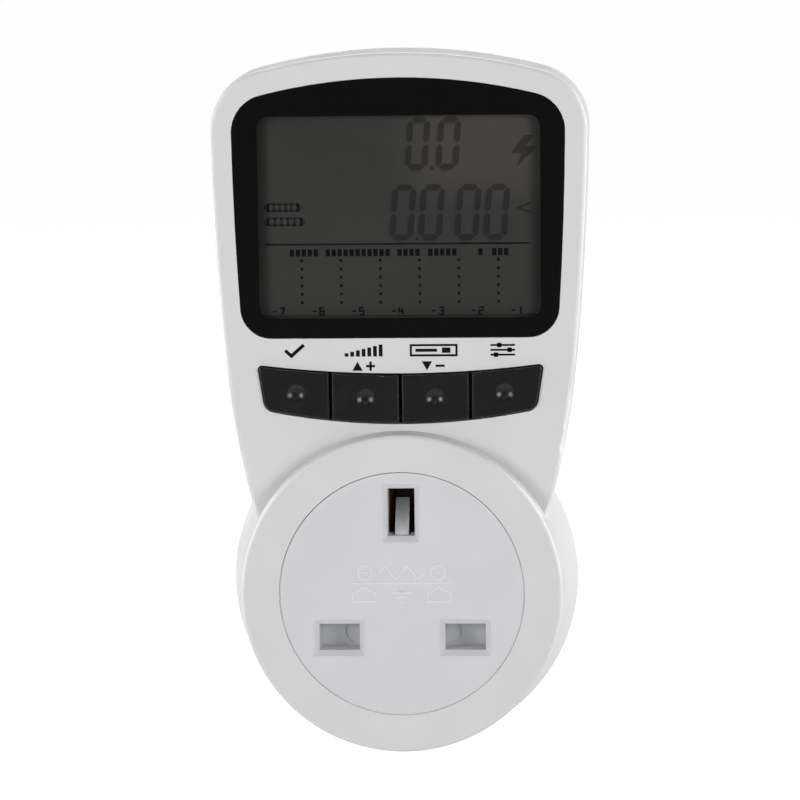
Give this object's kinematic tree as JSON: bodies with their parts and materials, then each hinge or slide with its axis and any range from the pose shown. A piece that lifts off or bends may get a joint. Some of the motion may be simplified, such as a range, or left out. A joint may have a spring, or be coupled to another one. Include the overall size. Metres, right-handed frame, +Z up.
{
  "type": "plug-in power meter",
  "caption": "Plug-in energy meter: a tapered display body with a wide window and a row of keys over a round base with a shuttered three-pin socket in front and plug pins behind.",
  "frame": {"origin": "on the axis of the round base, in the rear face that rests on the wall outlet", "axes": "+Z up along the display body, +Y into the wall along the pins, +X to the viewer's right"},
  "size_m": [0.0668, 0.0627, 0.1262],
  "materials": {
    "white_shell": "satin moulded",
    "window_lens": "polished",
    "lcd": "polished",
    "reflector": "matte foil",
    "white_frame": "moulded",
    "black_rubber": "matte",
    "circuit_board": "solder mask",
    "black_epoxy": "moulded",
    "cell_steel": "satin",
    "nickel_strip": "satin",
    "yellow_case": "moulded",
    "capacitor_can": "sleeved can",
    "blue_coating": "dipped",
    "resistor_coat": "dipped",
    "shunt_alloy": "plain",
    "white_insert": "satin moulded",
    "white_shutter": "satin moulded",
    "spring_steel": "wire",
    "contact_brass": "plain",
    "pin_brass": "plated",
    "black_sleeve": "moulded",
    "brown_wire": "insulation",
    "blue_wire": "insulation",
    "screw_steel": "zinc plated",
    "white_plunger": "moulded",
    "black_key": "satin moulded"
  },
  "bodies": {
    "case": {"front_housing": "white_shell", "rear_housing": "white_shell", "display_window": "window_lens", "lcd_glass": "lcd", "lcd_reflector": "reflector", "lcd_frame": "white_frame", "zebra_strip": "black_rubber", "display_board": "circuit_board", "controller_chip": "black_epoxy", "backup_battery": "cell_steel", "battery_clip": "nickel_strip", "board_header": "black_epoxy", "metering_board": "circuit_board", "metering_chip": "black_epoxy", "bridge_rectifier": "black_epoxy", "memory_chip": "black_epoxy", "film_capacitor": "yellow_case", "electrolytic_capacitor": "capacitor_can", "varistor": "blue_coating", "crystal": "cell_steel", "fusible_resistor": "resistor_coat", "shunt_resistor": "shunt_alloy", "socket_insert": "white_insert", "shutter_spring": "spring_steel", "contact_carrier": "white_frame", "line_contact": "contact_brass", "neutral_contact": "contact_brass", "earth_contact": "contact_brass", "line_pin": "pin_brass", "neutral_pin": "pin_brass", "earth_pin": "pin_brass", "line_pin_sleeve": "black_sleeve", "neutral_pin_sleeve": "black_sleeve", "line_strip": "contact_brass", "neutral_strip": "contact_brass", "earth_strip": "contact_brass", "pin_clamp": "white_frame", "line_lead": "brown_wire", "neutral_lead": "blue_wire", "housing_screws": "screw_steel", "display_board_screws": "screw_steel", "metering_board_screws": "screw_steel", "carrier_screws": "screw_steel", "clamp_screws": "screw_steel", "switch_body_ok": "black_epoxy", "switch_body_value": "black_epoxy", "switch_body_display": "black_epoxy", "switch_body_set": "black_epoxy"},
    "key_ok": {"button_ok": "black_key", "switch_plunger_ok": "white_plunger"},
    "key_value": {"button_value": "black_key", "switch_plunger_value": "white_plunger"},
    "key_display": {"button_display": "black_key", "switch_plunger_display": "white_plunger"},
    "key_set": {"button_set": "black_key", "switch_plunger_set": "white_plunger"},
    "shutter": {"shutter": "white_shutter"}
  },
  "joints": [
    {"name": "press_ok", "type": "slide", "parent": "case", "child": "key_ok", "axis": [0, 1, 0], "range_m": [0, 0.0005], "stiffness_N_per_m": 2500, "springref_m": -0.0002},
    {"name": "press_value", "type": "slide", "parent": "case", "child": "key_value", "axis": [0, 1, 0], "range_m": [0, 0.0005], "stiffness_N_per_m": 2500, "springref_m": -0.0002},
    {"name": "press_display", "type": "slide", "parent": "case", "child": "key_display", "axis": [0, 1, 0], "range_m": [0, 0.0005], "stiffness_N_per_m": 2500, "springref_m": -0.0002},
    {"name": "press_set", "type": "slide", "parent": "case", "child": "key_set", "axis": [0, 1, 0], "range_m": [0, 0.0005], "stiffness_N_per_m": 2500, "springref_m": -0.0002},
    {"name": "open_shutter", "type": "slide", "parent": "case", "child": "shutter", "axis": [0, 0, -1], "range_m": [0, 0.0062], "stiffness_N_per_m": 120, "springref_m": -0.003, "deforming": ["shutter_spring"]}
  ]
}
